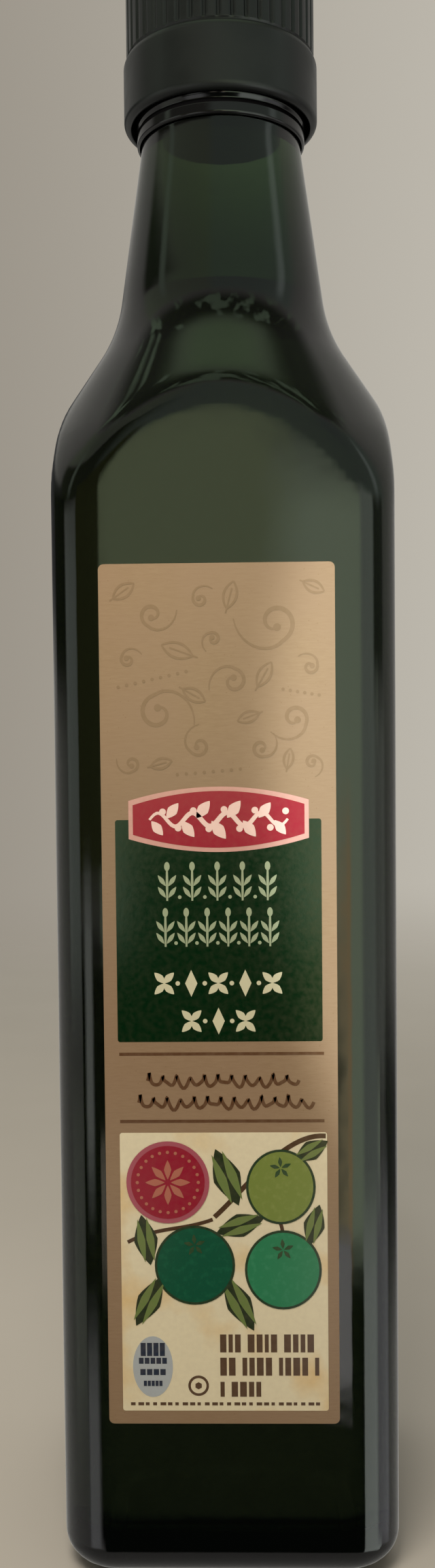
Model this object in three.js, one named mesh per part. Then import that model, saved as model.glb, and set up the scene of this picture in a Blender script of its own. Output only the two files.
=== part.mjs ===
// Square glass bottle of olive oil with a ribbed screw cap, standing on its base.
// Millimetres, +Z up. The origin is under the middle of the base and the label faces -Y.
import * as THREE from "three";

// Driving dimensions of the glass.
const bodyWidth = 57;
const cornerRadius = 7.9;
const wall = 2.6;
const innerCornerRadius = 7;
const heelRadius = 6.2;
const heelCornerShare = 0.5;
const standWidth = 3.3;
const pushUp = 3.8;
const pushUpBend = { share: 0.55, height: 0.9 };
const floorHeight = 6.4;
const floorRounding = 5;
const floorCrown = 2.6;
const floorCrownBend = { share: 0.45, height: 0.8 };
const lipHeight = 271.6;
const lipRounding = 1.3;
const lipChamfer = { out: 0.5, down: 0.8 };
const shoulderBlend = 2;

// Radii of the neck: the cylinder under the cap, the finish inside the cap, and the bore.
const neckRadius = 14.25;
const finishRadius = 15.4;
const finishSlope = 0.6;
const boreRadius = 10.3;

// The oil reaches this height, just above the foot of the neck.
const oilLevel = 217;
const gap = 0.3;

// Driving dimensions of the cap and of the ring that shows below it.
const capBottom = 248.7;
const capTop = 274;
const capRadius = 17.25;
const capInnerRadius = 16;
const capRimRounding = 1.2;
const bandHeight = 11.8;
const bandSlope = 1.4;
const ribRadius = 16.7;
const grooveDepth = 0.55;
const grooveRunOut = 0.4;
const ribCount = 44;
const ribShares = [-0.33, 0.33, 0.43, 0.57];
const capTopRounding = 1.4;
const capPlate = 2;
const ringBottom = 245.5;
const ringTop = 251.3;
const ringRadius = 15;
const ringInnerRadius = 14.55;
const ringRounding = 0.3;

// Driving dimensions of the paper label.
const labelWidth = 38.05;
const labelHeight = 141.15;
const labelBottom = 27.4;
const labelShift = -1;
const labelCorner = 0.9;
const labelThickness = 0.25;
const labelGap = 0.05;

const halfWidth = bodyWidth / 2;
const innerHalfWidth = halfWidth - wall;
const quarterTurn = Math.PI / 2;
const farOut = 200;
const outlineSteps = 19;

const glassPaint = new THREE.MeshStandardMaterial({
  color: 0x24301f,
  roughness: 0.08,
  metalness: 0,
  transparent: true,
  opacity: 0.55,
});
const oilPaint = new THREE.MeshStandardMaterial({ color: 0x8a8426, roughness: 0.1, metalness: 0 });
const capPaint = new THREE.MeshStandardMaterial({ color: 0x1f1e1f, roughness: 0.35, metalness: 0 });
const ringPaint = new THREE.MeshStandardMaterial({ color: 0x0c0c0d, roughness: 0.15, metalness: 0 });
const labelPaint = new THREE.MeshStandardMaterial({ color: 0xb5966d, roughness: 0.85, metalness: 0 });

// Distance from the axis to the side of a rounded square, in the direction of an angle.
function squareReach(angle, half, corner) {
  const folded = angle + quarterTurn / 2;
  const fromMiddle = Math.abs(folded - quarterTurn * Math.floor(folded / quarterTurn) - quarterTurn / 2);
  const centre = half - corner;
  const along = Math.cos(fromMiddle);
  const across = Math.sin(fromMiddle);
  if (half * across <= centre * along) return half / along;
  const off = centre * (along - across);
  return centre * (along + across) + Math.sqrt(Math.max(corner * corner - off * off, 0));
}

// The smaller of two lengths, with a soft change from one to the other.
function softMin(a, b, blend) {
  const share = THREE.MathUtils.clamp(0.5 + (b - a) / (2 * blend), 0, 1);
  return b + (a - b) * share - blend * share * (1 - share);
}

// Angles of a square body's columns: few on each flat side and more round each corner.
function squareAngles(flatSteps, cornerSteps) {
  const flatEnd = Math.atan((halfWidth - cornerRadius) / halfWidth);
  const angles = [];
  for (let side = 0; side < 4; side += 1) {
    const middle = side * quarterTurn;
    for (let i = 0; i < flatSteps; i += 1) angles.push(middle - flatEnd + (2 * flatEnd * i) / flatSteps);
    const cornerSpan = quarterTurn - 2 * flatEnd;
    for (let i = 0; i < cornerSteps; i += 1) angles.push(middle + flatEnd + (cornerSpan * i) / cornerSteps);
  }
  return angles;
}

function evenAngles(count) {
  return Array.from({ length: count }, (unused, i) => (2 * Math.PI * i) / count);
}

// A lathe whose radius may also depend on the angle. Each ring has a height and reach(angle, column).
function shapedLathe(rings, angles) {
  const outline = rings.map((ring) => new THREE.Vector2(1, ring.height));
  const geometry = new THREE.LatheGeometry(outline, angles.length);
  const place = geometry.getAttribute("position");
  for (let column = 0; column <= angles.length; column += 1) {
    const turn = column % angles.length;
    rings.forEach((ring, row) => {
      const reach = ring.reach(angles[turn], turn);
      const at = column * rings.length + row;
      place.setXYZ(at, reach * Math.cos(angles[turn]), reach * Math.sin(angles[turn]), ring.height);
    });
  }
  geometry.computeVertexNormals();
  return geometry;
}

function pole(height) {
  return { height, reach: () => 0 };
}

function roundRing(radius, height) {
  return { height, reach: () => radius };
}

function squareRing(half, corner, height) {
  return { height, reach: (angle) => squareReach(angle, half, Math.min(corner, half)) };
}

// Rings where a turned shoulder meets the square body: the nearer of the two makes the surface.
function shoulderRings(points, half, corner, inset) {
  return points.map((point) => ({
    height: point.y,
    reach: (angle) => softMin(squareReach(angle, half, corner), point.x, shoulderBlend) - inset,
  }));
}

// The part of an outline below a height, ending on that height.
function cutAt(points, height) {
  const next = points.findIndex((point) => point.y >= height);
  const share = (height - points[next - 1].y) / (points[next].y - points[next - 1].y);
  return [...points.slice(0, next), points[next - 1].clone().lerp(points[next], share)];
}

// Quarter round from one point of an outline to another, as [radius, height] pairs.
function quarterRound(centreRadius, centreHeight, size, fromTurn, steps) {
  return Array.from({ length: steps + 1 }, (unused, i) => {
    const turn = fromTurn + (quarterTurn * i) / steps;
    return [centreRadius + size * Math.cos(turn), centreHeight + size * Math.sin(turn)];
  });
}

// Outside of the glass from the top of the straight sides, up the neck's cone to its cylinder under the ring.
function outerShoulder() {
  const path = new THREE.Path();
  path.moveTo(40.8, 174);
  path.quadraticCurveTo(35.5, 187.2, 32.2, 192.2);
  path.lineTo(22.2, 207.2);
  path.quadraticCurveTo(19.1, 211.9, 18.15, 217.5);
  path.lineTo(14.8, 240.8);
  path.quadraticCurveTo(neckRadius, 244.6, neckRadius, 245.4);
  return path;
}

// Inside of the glass over the same height, thicker towards the neck.
function innerShoulder() {
  const path = new THREE.Path();
  path.moveTo(37.2, 172);
  path.quadraticCurveTo(32.4, 185.4, 29.3, 190);
  path.lineTo(19.4, 205);
  path.quadraticCurveTo(15.4, 210.6, 12.8, 215.6);
  path.quadraticCurveTo(11.2, 218.6, 11, 223);
  path.lineTo(boreRadius, 246);
  return path;
}

function makeGlass() {
  const underside = halfWidth - heelRadius;
  const standInner = underside - standWidth;
  const rings = [pole(pushUp)];
  rings.push(squareRing(standInner * pushUpBend.share, farOut, pushUp * pushUpBend.height));
  rings.push(squareRing(standInner, cornerRadius, 0));
  quarterRound(underside, heelRadius, heelRadius, -quarterTurn, 5).forEach(([half, height]) =>
    rings.push(squareRing(half, cornerRadius - (halfWidth - half) * heelCornerShare, height)),
  );
  rings.push(...shoulderRings(outerShoulder().getSpacedPoints(outlineSteps), halfWidth, cornerRadius, 0));
  rings.push(roundRing(neckRadius, ringTop + gap));
  rings.push(roundRing(finishRadius, ringTop + gap + finishSlope));
  quarterRound(finishRadius - lipRounding, lipHeight - lipRounding, lipRounding, 0, 3).forEach(([radius, height]) =>
    rings.push(roundRing(radius, height)),
  );
  rings.push(roundRing(boreRadius + lipChamfer.out, lipHeight));
  rings.push(roundRing(boreRadius, lipHeight - lipChamfer.down));
  const inside = innerShoulder().getSpacedPoints(outlineSteps);
  rings.push(...shoulderRings(inside, innerHalfWidth, innerCornerRadius, 0).reverse());
  rings.push(...floorRings(0));
  const mesh = new THREE.Mesh(shapedLathe(rings, squareAngles(8, 5)), glassPaint);
  mesh.name = "glass_bottle";
  return mesh;
}

// Rings of the hollow's foot, from the wall in to the axis, drawn in by a clearance.
function floorRings(clearance) {
  const half = innerHalfWidth - clearance;
  const low = floorHeight + clearance;
  const rings = quarterRound(half - floorRounding, low + floorRounding, floorRounding, -quarterTurn, 3)
    .reverse()
    .map(([reach, height]) => squareRing(reach, innerCornerRadius - clearance, height));
  rings.push(squareRing(half * floorCrownBend.share, farOut, low + floorCrown * floorCrownBend.height));
  rings.push(pole(low + floorCrown));
  return rings;
}

// Turns a surface inside out, which makes a hollow's outline the solid that fills the hollow.
function turnedOver(geometry) {
  const index = geometry.getIndex();
  for (let i = 0; i < index.count; i += 3) {
    const first = index.getX(i);
    index.setX(i, index.getX(i + 1));
    index.setX(i + 1, first);
  }
  geometry.computeVertexNormals();
  return geometry;
}

function makeOil() {
  const below = cutAt(innerShoulder().getSpacedPoints(outlineSteps), oilLevel);
  const rings = [pole(oilLevel)];
  rings.push(...shoulderRings(below, innerHalfWidth, innerCornerRadius, gap).reverse());
  rings.push(...floorRings(gap));
  const mesh = new THREE.Mesh(turnedOver(shapedLathe(rings, squareAngles(8, 5))), oilPaint);
  mesh.name = "olive_oil";
  return mesh;
}

// Grip ribs: each takes four columns, two on its face and two in the groove beside it.
function ribAngles() {
  const pitch = (2 * Math.PI) / ribCount;
  const angles = [];
  for (let rib = 0; rib < ribCount; rib += 1) ribShares.forEach((share) => angles.push((rib + share) * pitch));
  return angles;
}

function ribbedRing(radius, height, depth) {
  const columns = ribShares.length;
  return { height, reach: (angle, column) => (column % columns < columns / 2 ? radius : radius - depth) };
}

function makeCap() {
  const bandTop = capBottom + bandHeight;
  const inside = capTop - capPlate;
  const rings = [pole(inside), roundRing(capInnerRadius, inside), roundRing(capInnerRadius, capBottom)];
  quarterRound(capRadius - capRimRounding, capBottom + capRimRounding, capRimRounding, -quarterTurn, 2).forEach(
    ([radius, height]) => rings.push(roundRing(radius, height)),
  );
  rings.push(roundRing(capRadius, bandTop - bandSlope));
  rings.push(roundRing(ribRadius, bandTop));
  rings.push(ribbedRing(ribRadius, bandTop + grooveRunOut, grooveDepth));
  quarterRound(ribRadius - capTopRounding, capTop - capTopRounding, capTopRounding, 0, 2).forEach(
    ([radius, height], step) => rings.push(ribbedRing(radius, height, step === 0 ? grooveDepth : 0)),
  );
  rings.push(pole(capTop));
  const mesh = new THREE.Mesh(shapedLathe(rings, ribAngles()), capPaint);
  mesh.name = "screw_cap";
  return mesh;
}

function makeRing() {
  const outline = [[ringInnerRadius, ringTop], [ringInnerRadius, ringBottom]];
  outline.push(...quarterRound(ringRadius - ringRounding, ringBottom + ringRounding, ringRounding, -quarterTurn, 2));
  outline.push([ringRadius, ringTop], [ringInnerRadius, ringTop]);
  const rings = outline.map(([radius, height]) => roundRing(radius, height));
  const mesh = new THREE.Mesh(shapedLathe(rings, evenAngles(48)), ringPaint);
  mesh.name = "neck_ring";
  return mesh;
}

function makeLabel() {
  const half = labelWidth / 2;
  const edge = half - labelCorner;
  const top = labelHeight - labelCorner;
  const outline = new THREE.Shape();
  outline.moveTo(-edge, 0);
  outline.absarc(edge, labelCorner, labelCorner, -quarterTurn, 0);
  outline.absarc(edge, top, labelCorner, 0, quarterTurn);
  outline.absarc(-edge, top, labelCorner, quarterTurn, 2 * quarterTurn);
  outline.absarc(-edge, labelCorner, labelCorner, 2 * quarterTurn, 3 * quarterTurn);
  const geometry = new THREE.ExtrudeGeometry(outline, {
    depth: labelThickness,
    bevelEnabled: false,
    curveSegments: 4,
  });
  const mesh = new THREE.Mesh(geometry, labelPaint);
  mesh.name = "front_label";
  mesh.rotation.x = quarterTurn;
  mesh.position.set(labelShift, -halfWidth - labelGap, labelBottom);
  return mesh;
}

const bottle = new THREE.Group();
bottle.add(makeGlass(), makeOil(), makeCap(), makeRing(), makeLabel());

export default bottle;
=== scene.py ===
# Square bottle of olive oil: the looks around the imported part. Metres, +Z up, the label faces -Y.
import math

import bmesh
import bpy
from mathutils import Matrix, Vector, noise


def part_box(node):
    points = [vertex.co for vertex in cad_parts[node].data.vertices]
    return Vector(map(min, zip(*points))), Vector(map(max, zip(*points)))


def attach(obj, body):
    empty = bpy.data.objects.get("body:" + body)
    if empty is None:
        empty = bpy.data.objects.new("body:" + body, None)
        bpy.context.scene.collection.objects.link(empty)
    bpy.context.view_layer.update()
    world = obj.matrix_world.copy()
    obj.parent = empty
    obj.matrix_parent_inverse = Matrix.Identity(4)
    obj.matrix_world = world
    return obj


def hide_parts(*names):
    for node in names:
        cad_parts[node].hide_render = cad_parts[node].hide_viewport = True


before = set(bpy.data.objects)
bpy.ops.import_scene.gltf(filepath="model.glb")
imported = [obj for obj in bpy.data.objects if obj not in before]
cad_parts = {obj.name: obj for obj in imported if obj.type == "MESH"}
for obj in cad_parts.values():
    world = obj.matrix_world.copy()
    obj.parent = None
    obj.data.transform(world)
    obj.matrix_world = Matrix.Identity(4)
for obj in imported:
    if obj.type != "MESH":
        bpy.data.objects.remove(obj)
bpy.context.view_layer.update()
print("stage 1: the packed part is in")

fullTurn = 2 * math.pi


def mm(value):
    return value / 1000


# sRGB hex to the linear colour that the shaders use
def colour(hexCode):
    shares = [int(hexCode[i:i + 2], 16) / 255 for i in (1, 3, 5)]
    return [s / 12.92 if s <= 0.04045 else ((s + 0.055) / 1.055) ** 2.4 for s in shares] + [1]


# Adds a node. An entry is an attribute, or a socket by name or number, which takes a value or is linked to
# the socket given, or to the first output in use of the node given.
def addNode(tree, kind, entries=None):
    node = tree.nodes.new("ShaderNode" + kind)
    for key, value in (entries or {}).items():
        if isinstance(value, bpy.types.Node):
            value = next(output for output in value.outputs if output.enabled)
        if isinstance(value, bpy.types.NodeSocket):
            tree.links.new(value, node.inputs[key])
        elif isinstance(key, int) or key in node.inputs:
            node.inputs[key].default_value = value
        else:
            setattr(node, key, value)
    return node


# A new material, its node tree and its Object coordinates
def startMaterial(name):
    material = bpy.data.materials.new(name)
    material.use_nodes = True
    tree = material.node_tree
    tree.nodes.clear()
    return material, tree, addNode(tree, "TexCoord").outputs["Object"]


# The material's surface, and for a clear body the colour and the density with which it soaks up light
def addSurface(tree, entries, soaks=None):
    parts = {"Surface": addNode(tree, "BsdfPrincipled", entries)}
    if soaks:
        parts["Volume"] = addNode(tree, "VolumeAbsorption", {"Color": colour(soaks[0]), "Density": soaks[1]})
    addNode(tree, "OutputMaterial", parts)


# Hands a finished bmesh over as a piece that rides on the part
def makePiece(name, bm, material, replaced=None, smooth=True):
    mesh = bpy.data.meshes.new(name)
    bm.to_mesh(mesh)
    bm.free()
    for polygon in mesh.polygons:
        polygon.use_smooth = smooth
    mesh.materials.append(material)
    piece = bpy.data.objects.new(name, mesh)
    bpy.context.scene.collection.objects.link(piece)
    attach(piece, "root")
    if replaced:
        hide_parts(replaced)


# Points along a curve with any number of control points, without its last point
def alongCurve(controls, steps):
    made = []
    for i in range(steps):
        points = [Vector(control) for control in controls]
        while len(points) > 1:
            points = [a.lerp(b, i / steps) for a, b in zip(points, points[1:])]
        made.append(points[0])
    return made


# Curves that follow on from each other: a start, then each one's steps and its further control points
def alongChain(chain):
    made = []
    start, *curves = chain.values()
    for steps, *controls in curves:
        made += alongCurve([start, *controls], steps)
        start = controls[-1]
    return made


# Quarter round of an outline, its last point included; fromTurn is in quarter turns
def quarterRound(centre, size, fromTurn, steps, sense=1):
    turns = [(fromTurn + sense * i / steps) * fullTurn / 4 for i in range(steps + 1)]
    return [Vector((centre[0] + size * math.cos(turn), centre[1] + size * math.sin(turn))) for turn in turns]


# Turns a line of vertices round the upright axis
def spinLine(bm, verts, steps):
    edges = [bm.edges.new(pair) for pair in zip(verts, verts[1:])]
    bmesh.ops.spin(
        bm, geom=verts + edges, cent=(0, 0, 0), axis=(0, 0, 1), angle=fullTurn, steps=steps, use_merge=True
    )


def closeUp(bm):
    bmesh.ops.remove_doubles(bm, verts=bm.verts, dist=mm(0.0005))
    bmesh.ops.recalc_face_normals(bm, faces=bm.faces)


# A round piece from its outline of (radius, height) points in mm
def turned(outline, steps):
    bm = bmesh.new()
    spinLine(bm, [bm.verts.new((mm(point[0]), 0, mm(point[1]))) for point in outline], steps)
    closeUp(bm)
    return bm


# Glass bottle, in mm. Half the width and the height come from the part.
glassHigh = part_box("glass_bottle")[1]
glass = {
    "half": glassHigh.x * 1000,
    "lip": glassHigh.z * 1000,
    "corner": 7.9,
    "heel": 6.2,
    "stand": 3.3,
    "pushUp": 3.8,
    "wall": 2.6,
    "innerCorner": 7.0,
    "floor": 6.4,
    "floorCrown": 2.6,
    "floorRound": 5.0,
    "neck": 14.25,
    "finish": 15.4,
    "finishFoot": 251.6,
    "lipRound": 1.3,
    "bore": 10.3,
    "boreRound": 0.8,
    "shoulderFoot": 172.0,
    "blend": 2.0,  # how softly the round shoulder meets the flat faces
    "columns": 208,
    "outerRows": 44,
    "innerRows": 40,
    "cornerShare": 0.62,
    "unevenOutside": 0.05,
    "unevenInside": 0.35,
    "unevenSize": 26.0,
    "evenFoot": 2.0,
    "evenFloor": 3.0,  # above the floor, where the unevenness of the inside starts
    "evenCore": 1.0,  # round the axis
    "colour": "#f4f8ee",
    "ior": 1.52,
    "absorbColour": "#769d63",
    "absorbDensity": 440.0,
}
# The shoulder and neck as turned shapes, outside and inside: the flat faces cut off what is wider than them
glassOutside = {
    "start": (41.6, glass["shoulderFoot"]),
    "shoulder": (12, (35.5, 187.2), (32.2, 192.2)),
    "slope": (10, (22.2, 207.2)),
    "neckFoot": (10, (19.1, 211.9), (18.15, 217.5)),
    "cone": (12, (14.8, 240.8)),
    "coneTop": (6, (glass["neck"], 244.6), (glass["neck"], 245.4)),
    "straight": (4, (glass["neck"], glass["finishFoot"])),
}
glassInside = {
    "start": (37.2, glass["shoulderFoot"]),
    "shoulder": (12, (32.4, 185.4), (29.3, 190)),
    "slope": (10, (19.4, 205)),
    "neckFoot": (8, (15.4, 210.6), (12.8, 215.6)),
    "throat": (8, (11.2, 218.6), (11, 223)),
    "bore": (10, (glass["bore"], 246), (glass["bore"], glass["lip"] - 1)),
}
everywhere = 90.0  # a turned radius or half width that lies outside the bottle, in mm


# Distance from the axis to the side of a rounded square
def squareReach(angle, half, corner):
    folded = (angle + math.pi / 4) % (math.pi / 2) - math.pi / 4
    along = math.cos(folded)
    across = abs(math.sin(folded))
    corner = min(corner, half)
    centre = half - corner
    if half * across <= centre * along:
        return half / along
    off = centre * (along - across)
    return centre * (along + across) + math.sqrt(max(corner * corner - off * off, 0))


def softMin(a, b, blend):
    share = min(max(0.5 + (b - a) / (2 * blend), 0), 1)
    return b + (a - b) * share - blend * share * (1 - share)


# Foot of the hollow, from the wall in to the axis, as rows of (turned radius, height, half, corner)
def hollowFoot(reachOut):
    half = glass["half"] - glass["wall"] + reachOut
    low = glass["floor"] - reachOut
    flat = half - glass["floorRound"]
    arc = quarterRound((flat, low + glass["floorRound"]), glass["floorRound"], 0, 8, -1)
    rows = [(everywhere, point.y, point.x, glass["innerCorner"]) for point in arc]
    for share in (0.85, 0.66, 0.45, 0.25, 0.1):
        crown = glass["floorCrown"] * math.cos(share * math.pi / 2) ** 2
        rows.append((everywhere, low + crown, flat * share, everywhere))
    return rows + [(0, low + glass["floorCrown"], everywhere, everywhere)]


# A straight wall up to the shoulder's foot, without its first and last rows
def straightRows(low, half, corner, count):
    span = glass["shoulderFoot"] - low
    return [(everywhere, low + span * i / count, half, corner) for i in range(1, count)]


def hollowSides(reachOut):
    low = glass["floor"] - reachOut + glass["floorRound"]
    half = glass["half"] - glass["wall"] + reachOut
    return straightRows(low, half, glass["innerCorner"], glass["innerRows"])


# Blown glass is never quite flat: how far it swells inwards, a little outside and more inside the wall
def swellAt(x, y, z, half):
    inner = half < glass["half"] - 1 and z > glass["floor"] + glass["evenFloor"]
    share = 0.5 + 0.5 * noise.noise(Vector((x, y, z)) / glass["unevenSize"])
    return share * (glass["unevenInside"] if inner else glass["unevenOutside"])


# Turns rows of (turned radius, height, half, corner) and squares them off where the square is nearer. The
# shape is uneven between the heights low and high.
def squaredMesh(rows, low, high):
    bm = bmesh.new()
    half = bm.verts.layers.float.new("half")
    corner = bm.verts.layers.float.new("corner")
    radius = bm.verts.layers.float.new("radius")
    verts = []
    for row in rows:
        vert = bm.verts.new((mm(row[0]), 0, mm(row[1])))
        vert[radius], vert[half], vert[corner] = row[0], row[2], row[3]
        verts.append(vert)
    spinLine(bm, verts, glass["columns"])
    for vert in bm.verts:
        angle = math.atan2(vert.co.y, vert.co.x)
        angle += glass["cornerShare"] * math.sin(4 * angle) / 4  # more columns round the corners
        reach = softMin(squareReach(angle, vert[half], vert[corner]), vert[radius], glass["blend"])
        reach = max(min(reach, vert[radius]), 0)
        z = vert.co.z * 1000
        if reach >= glass["evenCore"] and low <= z <= high:
            reach -= swellAt(reach * math.cos(angle), reach * math.sin(angle), z, vert[half])
        vert.co.x = mm(reach * math.cos(angle))
        vert.co.y = mm(reach * math.sin(angle))
    closeUp(bm)
    return bm


def bottleRows():
    under = glass["half"] - glass["heel"]
    stand = under - glass["stand"]
    rows = [(0, glass["pushUp"], everywhere, everywhere)]
    for share in (0.12, 0.3, 0.5, 0.7, 0.86, 0.96):
        height = glass["pushUp"] * math.cos(share * math.pi / 2) ** 0.7
        rows.append((everywhere, height, stand * share, glass["corner"]))
    rows.append((everywhere, 0, stand, glass["corner"] - 1))
    for point in quarterRound((under, glass["heel"]), glass["heel"], -1, 12):
        inset = glass["half"] - point.x
        rows.append((everywhere, point.y, point.x, glass["corner"] - inset * 0.5))
    rows += straightRows(glass["heel"], glass["half"], glass["corner"], glass["outerRows"])
    rows += [(point.x, point.y, glass["half"], glass["corner"]) for point in alongChain(glassOutside)]
    rows.append((glass["neck"], glass["finishFoot"], everywhere, everywhere))
    rows.append((glass["finish"], glass["finishFoot"] + 0.6, everywhere, everywhere))
    lip = glass["lipRound"]
    mouth = quarterRound((glass["finish"] - lip, glass["lip"] - lip), lip, 0, 5)
    edge = glass["boreRound"]
    mouth += quarterRound((glass["bore"] + edge, glass["lip"] - edge), edge, 1, 4)
    rows += [(point.x, point.y, everywhere, everywhere) for point in mouth]
    inner = glass["half"] - glass["wall"]
    inside = [(point.x, point.y, inner, glass["innerCorner"]) for point in alongChain(glassInside)]
    return rows + inside[::-1] + hollowSides(0)[::-1] + hollowFoot(0)


# Soda-lime bottle glass, blown in a mould: clear, dark green where it is thick, its shine a little wavy
def makeBottleGlass():
    material, tree, spot = startMaterial("bottleGlassDarkGreen")
    wave = addNode(tree, "TexNoise", {"Scale": 1 / mm(9), "Detail": 2.0, "Vector": spot})
    addSurface(tree, {
        "Base Color": colour(glass["colour"]), "Roughness": 0.015, "IOR": glass["ior"],
        "Transmission Weight": 1.0,
        "Normal": addNode(tree, "Bump", {"Strength": 0.06, "Distance": mm(0.6), "Height": wave}),
    }, (glass["absorbColour"], glass["absorbDensity"]))
    return material


bottleMesh = squaredMesh(bottleRows(), glass["evenFoot"], glass["finishFoot"])
makePiece("bottleGlass", bottleMesh, makeBottleGlass(), "glass_bottle")
print("stage 2: the glass is blown")

# Olive oil, in mm. It reaches just into the wall, so that no air shows between oil and glass.
oil = {
    "intoWall": 0.12,
    "level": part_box("olive_oil")[1].z * 1000,
    "creep": 1.1,  # how far the oil climbs the wall
    "creepWidth": 2.6,
    "creepRows": 8,
    "colour": "#fffbe6",
    "ior": 1.47,
    "absorbColour": "#b3ab3c",
    "absorbDensity": 150.0,
}


def oilRows():
    grow = oil["intoWall"]
    half = glass["half"] - glass["wall"] + grow
    rows = hollowFoot(grow)[::-1] + hollowSides(grow)
    wall = [point for point in alongChain(glassInside) if point.y < oil["level"]]
    rows += [(point.x + grow, point.y, half, glass["innerCorner"]) for point in wall]
    edge = wall[-1].x + grow
    for i in range(oil["creepRows"] + 1):
        share = i / oil["creepRows"]
        climb = oil["creep"] * (1 - share) ** 3
        rows.append((edge - share * oil["creepWidth"], oil["level"] + climb, everywhere, everywhere))
    rows.append((edge * 0.45, oil["level"], everywhere, everywhere))
    return rows + [(0, oil["level"], everywhere, everywhere)]


# Olive oil, pressed: a clear golden green liquid that is almost black through the whole bottle
def makeOil():
    material, tree = startMaterial("oliveOilLiquid")[:2]
    addSurface(tree, {
        "Base Color": colour(oil["colour"]), "Roughness": 0.0, "IOR": oil["ior"], "Transmission Weight": 1.0,
    }, (oil["absorbColour"], oil["absorbDensity"]))
    return material


oilMesh = squaredMesh(oilRows(), glass["floor"] + glass["evenFloor"], oil["level"] - 1)
makePiece("oliveOil", oilMesh, makeOil(), "olive_oil")
print("stage 3: the oil is in")

# Screw cap, in mm. Its lowest and highest points and its radius come from the part.
capLow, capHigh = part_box("screw_cap")
cap = {
    "bottom": capLow.z * 1000,
    "top": capHigh.z * 1000,
    "radius": capHigh.x * 1000,
    "bore": 16.0,
    "boreEase": 0.4,
    "rimRound": 1.2,
    "band": 11.8,
    "seam": 0.3,  # the fine groove between the band and the grip
    "ribs": 16.7,
    "ribCount": 44,
    "ribSteps": 10,
    "groove": 0.55,
    "grooveShare": 0.2,
    "grooveFoot": 0.5,
    "grooveHead": 1.2,
    "grooveEnd": 0.6,  # below the cap's top
    "topRound": 1.5,
    "dish": 13.6,
    "dishDepth": 0.25,
    "plate": 2.0,
    "colour": "#0f1111",
    "wornColour": "#161918",
    "roughness": 0.34,
}


def capOutline():
    inside = cap["top"] - cap["plate"]
    bandTop = cap["bottom"] + cap["band"]
    rimTop = cap["bottom"] + cap["rimRound"]
    gripTop = cap["top"] - cap["topRound"]
    dished = cap["top"] - cap["dishDepth"]
    side, ribs, bore, ease, seam = (cap[key] for key in ("radius", "ribs", "bore", "boreEase", "seam"))
    outline = [(0, inside), (bore * 0.5, inside), (bore - ease, inside), (bore, inside - ease)]
    outline.append((bore, cap["bottom"] + 0.3))
    outline += quarterRound((side - cap["rimRound"], rimTop), cap["rimRound"], -1, 7)
    outline += alongCurve([(side, rimTop + 0.2), (side, bandTop - 1.6)], 6)
    outline += alongCurve([(side, bandTop - 1.6), (side, bandTop - 1.1), (ribs + 0.1, bandTop - 0.5)], 5)
    outline += [(ribs + 0.05, bandTop - 0.45), (ribs - seam, bandTop - seam)]
    outline += [(ribs - seam, bandTop - 0.1), (ribs, bandTop + 0.05)]
    outline += alongCurve([(ribs, bandTop + 0.15), (ribs, bandTop + cap["grooveHead"])], 5)
    outline += alongCurve([(ribs, bandTop + cap["grooveHead"]), (ribs, gripTop)], 8)
    outline += quarterRound((ribs - cap["topRound"], gripTop), cap["topRound"], 0, 7)
    outline += [(cap["dish"], cap["top"]), (cap["dish"] - 0.4, dished), (6, dished), (0, dished)]
    return outline


# Presses the grip's narrow grooves into the cap's side, each fading out at its foot and at the top
def pressGrooves(bm):
    foot = mm(cap["bottom"] + cap["band"])
    head = mm(cap["top"] - cap["grooveEnd"])
    pitch = fullTurn / cap["ribCount"]
    for vert in bm.verts:
        radius = math.hypot(vert.co.x, vert.co.y)
        if radius < mm(cap["bore"] + 0.2) or not foot < vert.co.z < head:
            continue
        turn = math.atan2(vert.co.y, vert.co.x) / pitch
        away = abs(turn - round(turn)) / cap["grooveShare"]
        fade = min((vert.co.z - foot) / mm(cap["grooveFoot"]), (head - vert.co.z) / mm(cap["grooveHead"]), 1)
        deep = mm(cap["groove"]) * max(1 - away * away, 0) * fade
        vert.co.x *= 1 - deep / radius
        vert.co.y *= 1 - deep / radius


# Polypropylene, injection moulded and finely eroded: a satin black, greyer where hands have rubbed it
def makeCapPlastic():
    material, tree, spot = startMaterial("polypropyleneSatinBlack")
    cloud = addNode(tree, "TexNoise", {"Scale": 1 / mm(7), "Detail": 4.0, "Vector": spot})
    grit = addNode(tree, "TexNoise", {"Scale": 1 / mm(0.35), "Detail": 2.0, "Vector": spot})
    addSurface(tree, {
        "IOR": 1.49,
        "Specular IOR Level": 0.36,
        "Base Color": addNode(tree, "Mix", {
            "data_type": "RGBA", 0: cloud, 6: colour(cap["colour"]), 7: colour(cap["wornColour"]),
        }),
        "Roughness": addNode(tree, "MapRange", {
            "Value": cloud, "From Min": 0.3, "From Max": 0.7,
            "To Min": cap["roughness"] - 0.05, "To Max": cap["roughness"] + 0.08,
        }),
        "Normal": addNode(tree, "Bump", {"Strength": 0.12, "Distance": mm(0.05), "Height": grit}),
    })
    return material


capMesh = turned(capOutline(), cap["ribCount"] * cap["ribSteps"])
pressGrooves(capMesh)
makePiece("screwCap", capMesh, makeCapPlastic(), "screw_cap")

# Ring under the cap, in mm, with a groove round its outside
ringLow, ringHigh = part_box("neck_ring")
ring = {
    "bottom": ringLow.z * 1000,
    "top": ringHigh.z * 1000,
    "radius": 14.95,
    "bore": 14.4,
    "boreEase": 0.15,
    "round": 0.45,
    "grooveFoot": 2.3,
    "grooveHead": 3.1,
    "grooveSlope": 0.2,
    "groove": 0.35,
    "colour": "#0b0b0c",
    "roughness": 0.1,
}


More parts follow.
